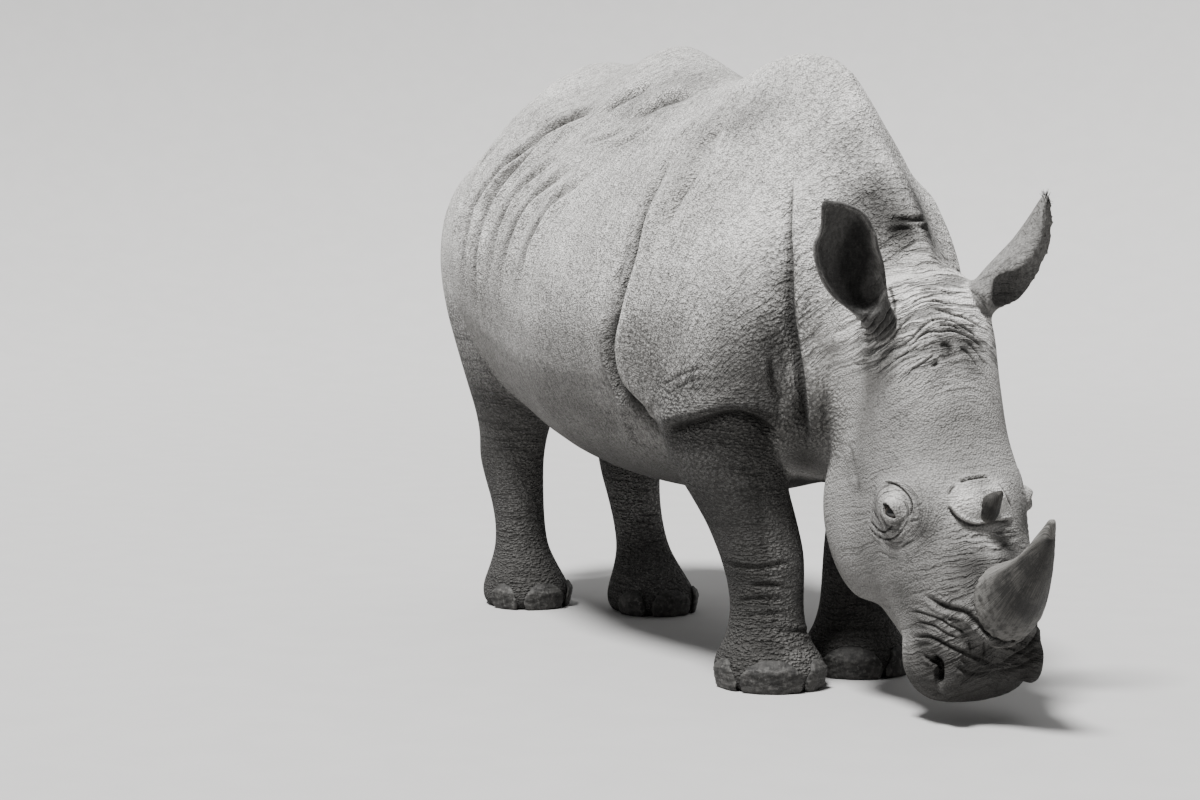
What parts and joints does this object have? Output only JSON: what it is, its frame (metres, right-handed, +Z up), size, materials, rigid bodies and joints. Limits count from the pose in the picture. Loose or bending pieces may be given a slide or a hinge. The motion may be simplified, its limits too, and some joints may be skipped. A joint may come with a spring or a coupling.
{
  "type": "white rhinoceros",
  "caption": "Life-size still model of a lean white rhinoceros, standing with its head lowered to graze.",
  "frame": {"origin": "on the ground under the middle of the model's box", "axes": "+X forward towards the head, +Y to the animal's left, +Z up"},
  "size_m": [2.8806, 0.9808, 1.6671],
  "materials": {
    "hide": "dry, wrinkled, dusty grey skin",
    "horn": "worn fibrous keratin, dark with a pale frayed foot",
    "nail": "worn grey-brown keratin",
    "eye": "wet, very dark brown",
    "bristle": "coarse black hair"
  },
  "bodies": {
    "root": {"head": "hide", "lower_jaw": "hide", "neck": "hide", "torso": "hide", "tail": "hide", "right_ear": "hide", "left_ear": "hide", "right_foreleg": "hide", "left_foreleg": "hide", "right_hindleg": "hide", "left_hindleg": "hide", "right_forefoot": "hide", "left_forefoot": "hide", "right_hindfoot": "hide", "left_hindfoot": "hide", "right_eye": "eye", "left_eye": "eye", "front_horn": "horn", "rear_horn": "horn", "tail_tuft": "bristle", "right_forefoot_inner_nail": "nail", "right_forefoot_middle_nail": "nail", "right_forefoot_outer_nail": "nail", "right_hindfoot_inner_nail": "nail", "right_hindfoot_middle_nail": "nail", "right_hindfoot_outer_nail": "nail", "left_forefoot_inner_nail": "nail", "left_forefoot_middle_nail": "nail", "left_forefoot_outer_nail": "nail", "left_hindfoot_inner_nail": "nail", "left_hindfoot_middle_nail": "nail", "left_hindfoot_outer_nail": "nail"}
  },
  "joints": []
}
